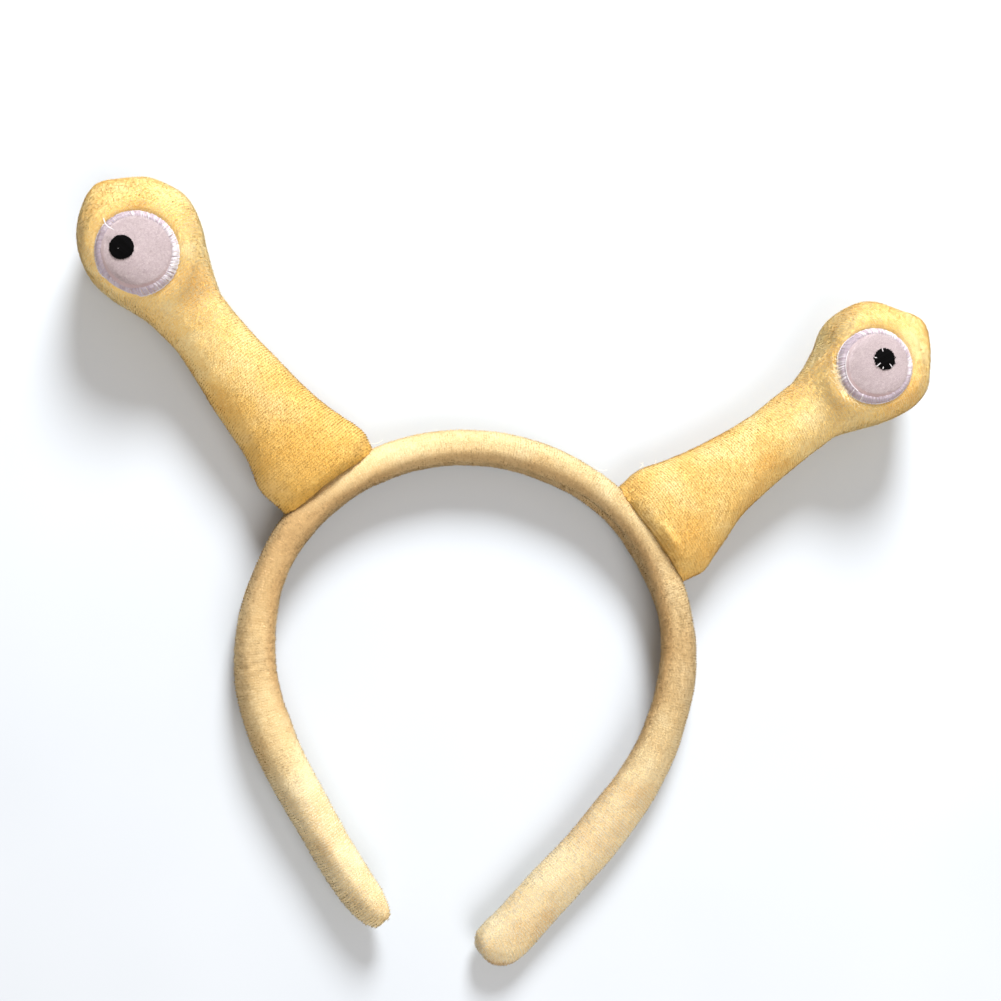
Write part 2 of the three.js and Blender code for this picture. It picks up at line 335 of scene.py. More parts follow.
def smoothed(points, edges, share, rounds):
    count = len(points)
    first, second = edges[:, 0], edges[:, 1]
    degree = np.bincount(edges.ravel(), minlength=count)[:, None]
    for _ in range(rounds):
        total = [np.bincount(first, points[second, k], count)
                 + np.bincount(second, points[first, k], count) for k in range(3)]
        points = points + share[:, None] * (np.stack(total, 1) / degree - points)
    return points


# Materials

class Surface:
    """A material, and the nodes that feed its shader"""

    def __init__(self, name):
        self.material = bpy.data.materials.new(name)
        self.material.use_nodes = True
        self.nodes = self.material.node_tree.nodes
        self.links = self.material.node_tree.links
        self.inputs = self.nodes["Principled BSDF"].inputs

    def noise(self, scale, detail):
        place = self.nodes.new("ShaderNodeTexCoord")
        texture = self.nodes.new("ShaderNodeTexNoise")
        texture.inputs["Scale"].default_value = scale
        texture.inputs["Detail"].default_value = detail
        texture.inputs["Roughness"].default_value = NOISE_ROUGHNESS
        self.links.new(place.outputs["Object"], texture.inputs["Vector"])
        return texture.outputs["Fac"]

    def number(self, name):
        """A number that the mesh keeps at each of its points"""
        found = self.nodes.new("ShaderNodeAttribute")
        found.attribute_name = name
        return found.outputs["Fac"]

    def ramp(self, factor, stops):
        found = self.nodes.new("ShaderNodeValToRGB")
        elements = found.color_ramp.elements
        while len(elements) < len(stops):
            elements.new(0.5)
        for element, (position, colour) in zip(elements, stops):
            element.position = position
            element.color = (*colour, 1)
        self.links.new(factor, found.inputs["Fac"])
        return found.outputs["Color"]

    def mixed(self, factor, first, second):
        found = self.nodes.new("ShaderNodeMix")
        found.data_type = "RGBA"
        for socket, value in ((0, factor), (6, first), (7, second)):
            if hasattr(value, "links"):
                self.links.new(value, found.inputs[socket])
            elif socket == 0:
                found.inputs[socket].default_value = value
            else:
                found.inputs[socket].default_value = (*value, 1)
        return found.outputs[2]

    def coloured(self, colour):
        self.links.new(colour, self.inputs["Base Color"])

    def bumped(self, height, distance):
        bump = self.nodes.new("ShaderNodeBump")
        bump.inputs["Distance"].default_value = distance
        self.links.new(height, bump.inputs["Height"])
        self.links.new(bump.outputs["Normal"], self.inputs["Normal"])

    def roughened(self, factor, low, high):
        spread = self.nodes.new("ShaderNodeMapRange")
        spread.inputs["To Min"].default_value = low
        spread.inputs["To Max"].default_value = high
        self.links.new(factor, spread.inputs["Value"])
        self.links.new(spread.outputs["Result"], self.inputs["Roughness"])

    def lustre(self, sheen, roughness, tint):
        self.inputs["Sheen Weight"].default_value = sheen
        self.inputs["Sheen Roughness"].default_value = roughness
        self.inputs["Sheen Tint"].default_value = (*tint, 1)
        self.inputs["Specular IOR Level"].default_value = CLOTH_SHINE


def velvet(name, deep, middle, pale, painted_shade):
    """The cloth under the pile: patches where the nap was stroked, and a fine knitted grain"""
    cloth = Surface(name)
    patches = cloth.noise(70, 2)
    grain = cloth.noise(2600, 2)
    tone = cloth.ramp(patches, ((0.3, deep), (0.52, middle), (0.75, pale)))
    speckle = cloth.ramp(grain, ((0.3, deep), (0.7, pale)))
    colour = cloth.mixed(0.35, tone, speckle)
    # Painted shade: the painted_shade number mixes in its colour
    cloth.coloured(cloth.mixed(cloth.number("painted_shade"), colour, painted_shade))
    cloth.roughened(patches, 0.8, 1.0)
    cloth.bumped(grain, 0.25 * MM)
    cloth.lustre(VELVET_SHEEN, 0.4, pale)
    return cloth.material


def pile_velvet(name, deep, middle, pale, painted_shade):
    """Pile that is deep in colour at its roots and pale at its tips"""
    pile = Surface(name)
    patches = pile.noise(70, 2)
    tone = pile.ramp(pile.number("tip"), ((0.0, deep), (0.4, middle), (1.0, pale)))
    cast = pile.ramp(patches, ((0.35, middle), (0.65, pale)))
    blade = pile.ramp(pile.number("shade"), ((0.0, deep), (0.5, middle), (1.0, pale)))
    colour = pile.mixed(0.2, tone, cast)
    colour = pile.mixed(0.5, colour, blade)
    # Painted light: the pile turns toward PAINTED_LIGHT_TONE where the painted_light number is high
    colour = pile.mixed(pile.number("painted_light"), colour, PAINTED_LIGHT_TONE)
    deeper, lighter = (tuple(min(share * part, 1) for part in painted_shade) for share in PAINTED_SHADE_SHARES)
    # Painted shade: its colour, deeper or lighter from blade to blade, mixed in by the
    # painted_shade number
    cast = pile.ramp(pile.number("shade"), ((0.0, deeper), (1.0, lighter)))
    pile.coloured(pile.mixed(pile.number("painted_shade"), colour, cast))
    pile.roughened(patches, 0.75, 0.95)
    pile.lustre(VELVET_SHEEN, 0.35, pale)
    return pile.material


def felt(name):
    cloth = Surface(name)
    cloud = cloth.noise(240, 3)
    fibres = cloth.noise(3200, 2)
    tone = cloth.ramp(cloud, ((0.35, FELT_TONES[0]), (0.7, FELT_TONES[1])))
    strands = cloth.ramp(fibres, ((0.3, FELT_TONES[0]), (0.7, FELT_TONES[1])))
    colour = cloth.mixed(0.4, tone, strands)
    # Painted shade on the felt's lower half
    cloth.coloured(cloth.mixed(cloth.number("painted_shade"), colour, FELT_TONES[2]))
    cloth.roughened(cloud, 0.85, 1.0)
    cloth.bumped(fibres, 0.15 * MM)
    cloth.inputs["Sheen Weight"].default_value = 0.2
    cloth.inputs["Specular IOR Level"].default_value = CLOTH_SHINE
    return cloth.material


def thread(name, dark, light, rough, shine):
    """Twisted thread: its tone changes from one thread to the next and along its twist"""
    yarn = Surface(name)
    twist = yarn.noise(1800, 2)
    tone = yarn.ramp(yarn.number("shade"), ((0.0, dark), (1.0, light)))
    strands = yarn.ramp(twist, ((0.35, dark), (0.65, light)))
    yarn.coloured(yarn.mixed(0.2, tone, strands))
    yarn.roughened(twist, rough, min(rough + 0.25, 1))
    yarn.bumped(twist, 0.06 * MM)
    yarn.inputs["Specular IOR Level"].default_value = shine
    return yarn.material


NOISE_ROUGHNESS = 0.55
CLOTH_SHINE = 0.1
VELVET_SHEEN = 0.4
# The colour that painted light brings in
PAINTED_LIGHT_TONE = (0.98, 0.94, 0.80)
# Deep, middle and pale, and the colour of the painted shade
BAND_TONES = ((0.62, 0.40, 0.16), (0.80, 0.64, 0.35), (0.91, 0.82, 0.55), (0.48, 0.31, 0.14))
STALK_TONES = ((0.74, 0.40, 0.07), (0.88, 0.64, 0.23), (0.96, 0.88, 0.54), (0.74, 0.42, 0.07))
# How deep and how light the painted shade is from blade to blade
PAINTED_SHADE_SHARES = (0.6, 1.45)
# Dark and light, and the tone of the lower half
FELT_TONES = ((0.42, 0.34, 0.38), (0.58, 0.50, 0.52), (0.50, 0.34, 0.36))
MATERIALS = {
    "band": velvet("band_velvet_cloth", *BAND_TONES),
    "band_pile": pile_velvet("band_velvet_pile", *BAND_TONES),
    "stalk": velvet("stalk_velvet_cloth", *STALK_TONES),
    "stalk_pile": pile_velvet("stalk_velvet_pile", *STALK_TONES),
    "felt": felt("eye_felt_cloth"),
    "felt_fibre": thread("eye_felt_fibre", (0.42, 0.34, 0.39), (0.68, 0.61, 0.63), 0.8, 0.1),
    "edging": thread("edging_satin", (0.40, 0.31, 0.40), (0.84, 0.84, 0.90), 0.4, 0.4),
    "pupil": thread("pupil_satin", (0.001, 0.001, 0.001), (0.004, 0.004, 0.005), 0.75, 0.05),
    "fibre": thread("loose_fibre", (0.8, 0.78, 0.74), (0.95, 0.93, 0.9), 0.5, 0.3),
}


# Velvet skins

def even_copy(name, node, voxel):
    """The node's closed shape again in even quads, with its facets smoothed"""
    obj = bpy.data.objects.new(name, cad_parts[node].data.copy())
    bpy.context.scene.collection.objects.link(obj)
    obj.data.materials.clear()
    weld = obj.modifiers.new("weld", "WELD")
    weld.merge_threshold = 0.002 * MM
    remesh = obj.modifiers.new("remesh", "REMESH")
    remesh.mode = "VOXEL"
    remesh.voxel_size = voxel
    return applied(obj)


def swollen(obj, sewn, cap):
    """Filled by pressure in a cloth simulation. Where sewn is 1 the cloth stays put."""
    start = points_of(obj.data)
    group = obj.vertex_groups.new(name="sewn")
    for level in range(1, 11):
        chosen = np.flatnonzero(np.round(sewn * 10) == level)
        group.add(chosen.tolist(), level / 10, "REPLACE")
    cloth = obj.modifiers.new("swell", "CLOTH")
    settings = cloth.settings
    settings.quality = 5
    settings.mass = SWELL_MASS
    settings.tension_stiffness = 15
    settings.compression_stiffness = 15
    settings.shear_stiffness = 5
    settings.bending_stiffness = 0.5
    settings.use_pressure = True
    settings.uniform_pressure_force = SWELL_PRESSURE
    settings.vertex_group_mass = "sewn"
    settings.effector_weights.gravity = 0
    cloth.point_cache.frame_start = 1
    cloth.point_cache.frame_end = SWELL_FRAMES
    scene = bpy.context.scene
    for step in range(1, SWELL_FRAMES + 1):
        scene.frame_set(step)
    shown = obj.evaluated_get(bpy.context.evaluated_depsgraph_get())
    moved = points_of(shown.data) - start
    scene.frame_set(1)
    obj.modifiers.remove(cloth)
    obj.vertex_groups.clear()
    length = np.linalg.norm(moved, axis=1, keepdims=True)
    capped = moved * np.minimum(1, cap / np.maximum(length, 1e-9))
    set_points(obj.data, start + capped)


def subdivided(obj):
    division = obj.modifiers.new("finer", "SUBSURF")
    division.levels = 1
    division.render_levels = 1
    return applied(obj)


def rested(points):
    """Nothing reaches below the surface that the headband lies on"""
    return np.column_stack([points[:, :2], np.maximum(points[:, 2], REST_CLEARANCE)])


class Eye:
    """An eye's place, read from its nodes. Angles and radii are measured seen from above."""

    def __init__(self, side):
        felt_low, felt_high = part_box(f"{side}_eye_felt")
        ring_low, ring_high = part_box(f"{side}_eye_edging")
        pupil_low, pupil_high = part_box(f"{side}_pupil")
        self.middle = np.array((ring_low + ring_high) / 2)[:2]
        self.outer = (ring_high.x - ring_low.x) / 2
        self.felt_radius = (felt_high.x - felt_low.x) / 2
        self.pupil = np.array((pupil_low + pupil_high) / 2)[:2]
        self.pupil_radius = (pupil_high.x - pupil_low.x) / 2
        self.top = ring_high.z

    def distance(self, points):
        return np.linalg.norm(points[:, :2] - self.middle, axis=1)

    def place(self, radius, angle):
        return self.middle + np.stack([radius * np.cos(angle), radius * np.sin(angle)], -1)


EYES = {side: Eye(side) for side in SIDES}


class Hoop:
    """The band's middle line, from the left tip round the crown to the right tip, with its
    sections: how far out the node reaches each way, and which way its flat face looks"""

    def __init__(self, node):
        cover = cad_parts[node]
        tree = tree_of(cover)
        points = points_of(cover.data)
        some = scattered(points, triangles_of(cover.data), HOOP_SAMPLES, 11)
        centre_x = (points[:, 0].min() + points[:, 0].max()) / 2
        self.heart = np.array([centre_x, points[:, 1].max() - CROWN_RADIUS])
        angle = np.arctan2(some[:, 0] - self.heart[0], some[:, 1] - self.heart[1])
        edges = np.linspace(angle.min(), angle.max(), HOOP_BINS + 1)
        which = np.clip(np.searchsorted(edges, angle) - 1, 0, HOOP_BINS - 1)
        count = np.bincount(which, minlength=HOOP_BINS)
        line = np.stack([np.bincount(which, some[:, k], HOOP_BINS) / count for k in range(3)], 1)
        line = spaced(relaxed(line, 6), BAND_STEP)
        line = relaxed(line, 4)
        self.line = np.vstack([
            self.cap(tree, line[0], line[0] - line[3])[::-1], line,
            self.cap(tree, line[-1], line[-1] - line[-4])])
        self.run = length_along(self.line)
        self.along = unit(np.gradient(self.line, axis=0))
        self.outward = unit(np.cross(self.along, -UP))
        self.angle = np.linspace(0, 2 * math.pi, BAND_AROUND, endpoint=False)
        self.ways = (self.outward[:, None, :] * np.cos(self.angle)[None, :, None]
                     + UP * np.sin(self.angle)[None, :, None])
        self.reach = self.sections(tree)
        self.cover_tree = tree
        self.belly = self.flat_side()
        self.tree = KDTree(len(self.line))
        for index, point in enumerate(self.line):
            self.tree.insert(point, index)
        self.tree.balance()

    def cap(self, tree, end, way):
        """Points onward from an end of the line toward the tip"""
        way = unit(way)
        distance = tree.ray_cast(Vector(end), Vector(way))[3]
        return end + np.outer(np.array(CAP_STEPS) * distance, way)

    def sections(self, tree):
        reach = np.zeros((len(self.line), BAND_AROUND))
        for i, centre in enumerate(self.line):
            for j in range(BAND_AROUND):
                distance = tree.ray_cast(Vector(centre), Vector(self.ways[i, j]))[3]
                reach[i, j] = distance or 0
        soft = blurred(reach, 2.2, False)
        from_tip = np.minimum(self.run, self.run[-1] - self.run)
        share = ease(from_tip, 5 * MM, 14 * MM)[:, None]
        return blurred(reach * (1 - share) + soft * share, 0.55, True)

    def flat_side(self):
        second = (self.reach**2 * np.exp(2j * self.angle)).sum(1)
        turn = (np.angle(second) / 2 + math.pi / 2)[:, None]
        side = self.outward * np.cos(turn) + UP * np.sin(turn)
        middle = len(side) // 2
        if side[middle] @ self.outward[middle] > 0:
            side[middle] *= -1
        for step in (1, -1):
            i = middle + step
            while 0 <= i < len(side):
                if side[i] @ side[i - step] < 0:
                    side[i] *= -1
                i += step
        return unit(relaxed(side, 12))

    def nearest(self, points):
        return np.array([self.tree.find(point)[1] for point in points])

    def read(self, points):
        """Each point's run along the line, and how far outward of it, above it and toward
        the flat inner face it lies"""
        index = self.nearest(points)
        away = points - self.line[index]
        run = self.run[index] + (away * self.along[index]).sum(1)
        inner = (away * self.belly[index]).sum(1)
        return run, (away * self.outward[index]).sum(1), away[:, 2], inner


def relaxed(line, rounds):
    line = line.copy()
    for _ in range(rounds):
        line[1:-1] = (line[:-2] + 2 * line[1:-1] + line[2:]) / 4
    return line


def length_along(line):
    return np.concatenate([[0], np.cumsum(np.linalg.norm(np.diff(line, axis=0), axis=1))])


def spaced(line, step):
    run = length_along(line)
    even = np.linspace(0, run[-1], int(run[-1] / step) + 1)
    return np.stack([np.interp(even, run, line[:, k]) for k in range(3)], 1)


def scattered(points, triangles, count, seed):
    """Places spread evenly over a mesh"""
    rng = np.random.default_rng(seed)
    a, b, c = corners_of(points, triangles)
    area = np.cumsum(areas_of(points, triangles))
    pick = np.searchsorted(area / area[-1], rng.random(count)).clip(0, len(triangles) - 1)
    u, v = rng.random(count), rng.random(count)
    over = u + v > 1
    u[over], v[over] = 1 - u[over], 1 - v[over]
    return a[pick] + (b - a)[pick] * u[:, None] + (c - a)[pick] * v[:, None]


def blurred(rows, width, wrap):
    """A grid of numbers smoothed down its columns, or round its rows where wrap is true"""
    reach = int(math.ceil(3 * width))
    kernel = np.exp(-((np.arange(-reach, reach + 1) / width) ** 2) / 2)
    kernel /= kernel.sum()
    total = np.zeros_like(rows)
    for offset, share in zip(range(-reach, reach + 1), kernel):
        if wrap:
            total += share * np.roll(rows, offset, axis=1)
        else:
            index = np.clip(np.arange(len(rows)) + offset, 0, len(rows) - 1)
            total += share * rows[index]
    return total


def make_band(hoop):
    """The band's velvet tube: rings round the middle line, as far out as the node reaches"""
    reach = np.maximum(hoop.reach - BAND_INSET, 0.5 * hoop.reach)
    sideways = np.cos(hoop.angle)[None, :]
    for table, way in ((OUTER_SIDE, 1), (INNER_SIDE, -1)):
        share = np.maximum(way * sideways, 0)
        for run, spread, push in table:
            reach = reach + hump(hoop.run, run * MM, spread * MM)[:, None] * share * push * MM
    rings = (hoop.line[:, None, :] + hoop.ways * reach[:, :, None]).reshape(-1, 3)
    for pixel, corners in TIPS:
        rings = rings + cornered(rings, seen(pixel, 9 * MM)[:2], corners, 1 * MM, 5 * MM, 9 * MM)
    tips = []
    for end, way in ((0, -1), (-1, 1)):
        onward = hoop.along[end] * way
        distance = hoop.cover_tree.ray_cast(Vector(hoop.line[end]), Vector(onward))[3]
        tips.append(rings.reshape(-1, BAND_AROUND, 3)[end].mean(0) + onward * 0.6 * distance)
    obj = tube_object("band_skin", rings, tips, len(hoop.line), BAND_AROUND, MATERIALS["band"])
    set_points(obj.data, rested(points_of(obj.data)))
    swollen(obj, np.zeros(len(obj.data.vertices)), BAND_SWELL)
    subdivided(obj)
    points, triangles = points_of(obj.data), triangles_of(obj.data)
    normals = normals_of(points, triangles)
    relief = uneven(points, BAND_UNEVEN) + band_creases(points, hoop)
    set_points(obj.data, rested(points + normals * relief[:, None] * MM))
    return obj


def band_creases(points, hoop):
    """Gathers under the crown, a long soft groove down the right side, ripples down the
    left side, and a notch in the left tip"""
    run, outward, above, inner = hoop.read(points)
    gathers = bumps(points, 2.4 * MM, 9) * hump(inner, 1.8 * MM, 1.3 * MM)
    relief = 0.35 * gathers * hump(run, GATHERS_RUN, 17 * MM)
    groove = hump(outward, -0.6 * MM, 0.8 * MM) * ease(above, 0, 3 * MM)
    relief -= 0.4 * groove * hump(run, GROOVE_RUN, 14 * MM)
    ruffles = np.sin(2 * math.pi * run / RUFFLE_PITCH) * ease(outward, 1 * MM, 4 * MM)
    relief += 0.12 * ruffles * (1 - ease(run, 30 * MM, 45 * MM))
    waved = run + 0.8 * MM * np.sin(outward / (2 * MM))
    relief += 0.09 * np.sin(2 * math.pi * waved / RIPPLE_PITCH) * hump(run, RIPPLES_RUN, 11 * MM)
    notch = (1 - ease(run, 0.2 * MM, 2 * MM)) * hump(outward, 0.8 * MM, 0.6 * MM)
    return relief - 0.5 * notch


def tube_object(name, rings, tips, count, around, material):
    """Rings of points joined in quads, and closed to a point at both ends by fans"""
    index = np.arange(count * around).reshape(count, around)
    obj = new_object(name, np.vstack([rings, tips]), ring_quads(index), material)
    shape = bmesh.new()
    shape.from_mesh(obj.data)
    shape.verts.ensure_lookup_table()
    first, last = count * around, count * around + 1
    for j in range(around):
        k = (j + 1) % around
        ends = ((first, index[0, k], index[0, j]), (last, index[-1, j], index[-1, k]))
        for corners in ends:
            face = shape.faces.new([shape.verts[int(c)] for c in corners])
            face.smooth = True
    bmesh.ops.recalc_face_normals(shape, faces=shape.faces)
    shape.to_mesh(obj.data)
    shape.free()
    return obj


def make_stalk(side, band_tree, node_tree):
    eye = EYES[side]
    obj = even_copy(f"{side}_stalk_skin", f"{side}_stalk", STALK_VOXEL)
    points, edges = points_of(obj.data), edges_of(obj.data)
    from_node = np.array([node_tree.find_nearest(p)[3] for p in points])
    soften = 0.25 + 0.25 * ease(from_node, 1 * MM, 4 * MM)
    for _ in range(FACET_ROUNDS):
        points = smoothed(points, edges, soften, 1)
        points = smoothed(points, edges, -1.04 * soften, 1)
    normals = normals_of(points, triangles_of(obj.data))
    depth = STALK_INSET * ease(from_node, 1 * MM, 4 * MM)
    points = points - normals * depth[:, None]
    if side == "left":
        back = unit(np.array([*(eye.middle - seen(SEAM_MIDDLE, 0)[:2]), 0]))
        points = points + SEAM_BACK * back * (1 - ease(from_node, 1 * MM, 6 * MM))[:, None]
    points = drawn_to(points, band_tree, from_node)
    points = points + cornered(points, eye.middle, CORNERS[side], eye.outer, 17 * MM, 30 * MM)
    set_points(obj.data, points)
    facing = ease(normals[:, 2], 0.1, 0.4)
    from_eye = eye.distance(points)
    under_eye = facing * (1 - ease(from_eye, eye.outer, eye.outer + 1.5 * MM))
    sewn = np.maximum(1 - ease(from_node, 0.8 * MM, 2.5 * MM), under_eye)
    swollen(obj, sewn, STALK_SWELL)
    subdivided(obj)
    points, triangles = points_of(obj.data), triangles_of(obj.data)
    normals = normals_of(points, triangles)
    facing = ease(normals[:, 2], 0.05, 0.35)
    from_eye = eye.distance(points)
    relief = uneven(points, STALK_UNEVEN)
    puff = PUFF_HEIGHT * hump(from_eye, eye.outer + PUFF_REACH, PUFF_REACH / 1.8)
    groove = GROOVE_DEPTH * hump(from_eye, eye.outer, GROOVE_WIDTH)
    if side == "right":
        relief = relief + 0.7 * facing * ridge(points, SEAM_FOLD, 1.3 * MM)
    points = points + normals * (relief * MM + facing * (puff - groove))[:, None]
    set_points(obj.data, rested(points))
    obj.data.materials.append(MATERIALS["stalk"])
    return obj


def ridge(points, ends, width):
    """1 along the line between two pixels of the photograph, falling off to each side"""
    start, end = (seen(pixel, 8 * MM)[:2] for pixel in ends)
    away = points[:, :2] - start
    share = np.clip(away @ (end - start) / ((end - start) @ (end - start)), 0, 1)
    off = np.linalg.norm(away - share[:, None] * (end - start), axis=1)
    return hump(off, 0, width) * np.sin(math.pi * np.clip(share, 0.03, 0.97))


def stalk_painted_shade(side, points, from_band):
    """Painted shade, a golden cast: by the seam, over the eye, on the lower side of the left neck,
    down the lower half and underneath, with random patches
    """
    eye = EYES[side]
    away = points[:, :2] - eye.middle
    over = unit(away) @ unit(np.array([-0.5, 0.85]))
    by_eye = hump(eye.distance(points), eye.outer + 1.2 * MM, 1.8 * MM) * ease(over, -0.2, 0.9)
    by_seam = 1 - ease(from_band, 0.5 * MM, 5 * MM)
    under = 1 - ease(points[:, 2], 3 * MM, 13 * MM)
    low = ease(eye.distance(points), 26 * MM, 70 * MM)
    patches = 0.5 + 0.5 * bumps(points, 9 * MM, 71)
    along = away @ unit(np.array([0.61, -0.79]))
    beside = away @ unit(np.array([-0.79, -0.61]))
    neck = hump(along, 32 * MM, 18 * MM) * ease(beside, 1 * MM, 6 * MM)
    total = EYE_PAINTED_SHADE * by_eye + NECK_PAINTED_SHADE[side] * neck + UNDER_PAINTED_SHADE * under
    total += 0.1 * patches + LOW_PAINTED_SHADE[side] * low
    return np.clip(total + SEAM_PAINTED_SHADE[side] * by_seam * (0.5 + 0.5 * patches), 0, 0.85)


def cornered(points, middle, corners, near, far, fade):
    """How far the points move for an outline to stand out at its corners, seen from above
    round a middle: full beyond far, nothing within near, and fading out with distance"""
    away = points[:, :2] - middle
    distance = np.linalg.norm(away, axis=1)
    angle = bearing(away)
    push = np.zeros(len(points))
    for towards, spread, strength in corners:
        push += strength * hump(turned(angle, towards), 0, spread)
    push *= ease(distance, near, far) * hump(distance, 0, fade)
    return np.column_stack([unit(away) * push[:, None] * MM, np.zeros(len(points))])


def drawn_to(points, tree, from_node):
    """Points near the band's node drawn down to the band's skin, which they are sewn to"""
    moved = points.copy()
    for i in np.flatnonzero(from_node < SEAM_REACH):
        found, _, _, distance = tree.find_nearest(Vector(points[i]))
        share = 0.15 + 0.85 * ease(from_node[i], 0.5 * MM, SEAM_REACH)
        target = max(from_node[i] * share - 0.05 * MM, SEAM_CLEARANCE)
        if distance > target:
            moved[i] += (np.array(found) - points[i]) * (1 - target / distance)
    return moved


# Pile

def grown(name, skin, material, count, direction, seed, shown, rows, painted_shade, tone, longer):
    """Blades of pile all over a skin, each one flat tuft of hairs that leans along the nap.
    direction is the nap at each vertex, shown is how much of the pile grows there,
    painted_shade is its painted shade, tone is painted light above nothing and painted shade
    below it, longer is its length, and rows draws the roots together in the ribs that the
    cloth is knitted in."""
    rng = np.random.default_rng(seed)
    points, triangles = points_of(skin.data), triangles_of(skin.data)
    normals = normals_of(points, triangles)
    weight = areas_of(points, triangles) * shown[triangles].mean(1)
    pick = np.searchsorted(np.cumsum(weight) / weight.sum(), rng.random(count))
    pick = np.minimum(pick, len(triangles) - 1)
    u, v = rng.random(count), rng.random(count)
    over = u + v > 1
    u[over], v[over] = 1 - u[over], 1 - v[over]
    mix = np.stack([1 - u - v, u, v], 1)[:, :, None]
    root = (points[triangles[pick]] * mix).sum(1)
    root, rib = rows(root)
    normal = unit((normals[triangles[pick]] * mix).sum(1))
    nap = (direction[triangles[pick]] * mix).sum(1)
    nap = unit(nap - normal * (nap * normal).sum(1, keepdims=True))
    aside = np.cross(normal, nap)
    turn = rng.normal(0, 0.3, count) + 0.5 * bumps(root, 2.5 * MM, seed + 1)
    turn += 0.3 * bumps(root, TUFT, seed + 3)
    nap = nap * np.cos(turn)[:, None] + aside * np.sin(turn)[:, None]
    tuft = bumps(root, TUFT, seed + 2)
    lean = NAP_LEAN + rng.normal(0, 0.12, count) + 0.22 * tuft - 0.3 * rib
    along = unit(normal * np.cos(lean)[:, None] + nap * np.sin(lean)[:, None])
    wide = unit(np.cross(along, normal) + 0.5 * rng.normal(size=(count, 3)))
    wide = unit(wide - along * (wide * along).sum(1, keepdims=True))
    length = BLADE_LENGTH * rng.uniform(0.75, 1.15, count)[:, None]
    length = length * (longer[triangles[pick]] * mix[:, :, 0]).sum(1)[:, None]
    half = BLADE_WIDTH * rng.uniform(0.4, 0.6, count)[:, None]
    facing = np.cross(wide, along)
    wide = np.where((facing * normal).sum(1, keepdims=True) < 0, -wide, wide)
    start = root - normal * 0.1 * MM
    corners = np.stack([start - wide * half, start + wide * half, start + along * length], 1)
    corners[:, :, 2] = np.maximum(corners[:, :, 2], 0.02 * MM)
    obj = new_object(name, corners.reshape(-1, 3), np.arange(count * 3).reshape(-1, 3), material)
    set_number(obj.data, "tip", np.tile([0.0, 0.0, 1.0], count))
    # Painted light where tone is above nothing, painted shade where it is below
    paler = (tone[triangles[pick]] * mix[:, :, 0]).sum(1)
    # Each blade's shade: random tone by tuft, the painted light and shade of tone, and painted
    # shade in the rib valleys with painted light on their crests
    shade = np.clip(0.5 + paler + 0.6 * tuft + 0.35 * rib + rng.normal(0, 0.12, count), 0, 1)
    set_number(obj.data, "shade", np.repeat(shade, 3))
    set_number(obj.data, "painted_light", np.repeat(np.maximum(paler, 0), 3))
    set_number(obj.data, "painted_shade", np.repeat((painted_shade[triangles[pick]] * mix[:, :, 0]).sum(1), 3))
    lit = unit(normal + 0.7 * along)
    obj.data.normals_split_custom_set_from_vertices(np.repeat(lit, 3, axis=0).tolist())
    return obj


def in_ribs(root, at, along, strength, drawn=1.0):
    """Roots drawn together in rows a pitch apart along the cloth, and each one's place from
    a valley, -1, to a crest, 1"""
    phase = at / RIB_PITCH
    off = (np.round(phase) - phase) * RIB_PITCH * RIB_DRAW * drawn
    return root + along * off[:, None], np.cos(2 * math.pi * phase) * strength


# Eyes

def face_of(tree, place, top):
    """Points and normals of the skin straight below places seen from above, or where
    nothing lies below, of the skin nearest by"""
    points, normals = [], []
    for x, y in place:
        found, normal, _, _ = tree.ray_cast(Vector((x, y, top + 0.02)), Vector((0, 0, -1)))
        if found is None or top - found.z > EYE_DROP:
            found, normal, _, _ = tree.find_nearest(Vector((x, y, top - EYE_DROP)))
        points.append(found)
        normals.append(normal)
    return np.array(points), np.array(normals)


def felt_disc(side, tree):
    """A disc of felt with a little filling: its edge is drawn down under the edging"""
    eye = EYES[side]
    rings, around = 16, 72
    radius = (eye.felt_radius + 0.5 * MM) * np.arange(1, rings + 1) / rings
    angle = np.linspace(0, 2 * math.pi, around, endpoint=False)
    place = np.vstack([eye.middle, eye.place(radius[:, None], angle[None, :]).reshape(-1, 2)])
    points, normals = face_of(tree, place, eye.top)
    share = np.append(0, np.repeat(radius / radius[-1], around))
    lift = 0.35 * MM + FELT_HEIGHT * np.sqrt(np.maximum(1 - share**4, 0))
    top = points + normals * (lift + 0.07 * bumps(points, 4 * MM, 8) * MM)[:, None]
    low = points[-around:] + normals[-around:] * 0.1 * MM
    index = 1 + np.arange((rings + 1) * around).reshape(rings + 1, around)
    after = np.roll(index, -1, 1)
    centre = np.zeros(around, int)
    faces = [np.stack([centre, index[0], after[0]], 1)]
    for i in range(rings):
        faces.append(np.stack([index[i], index[i + 1], after[i + 1]], 1))
        faces.append(np.stack([index[i], after[i + 1], after[i]], 1))
    obj = new_object(f"{side}_felt", np.vstack([top, low]), np.vstack(faces), MATERIALS["felt"])
    down = (eye.middle[1] - points_of(obj.data)[:, 1]) / eye.felt_radius
    set_number(obj.data, "painted_shade", 0.5 * ease(down, -0.2, 1))
    return obj


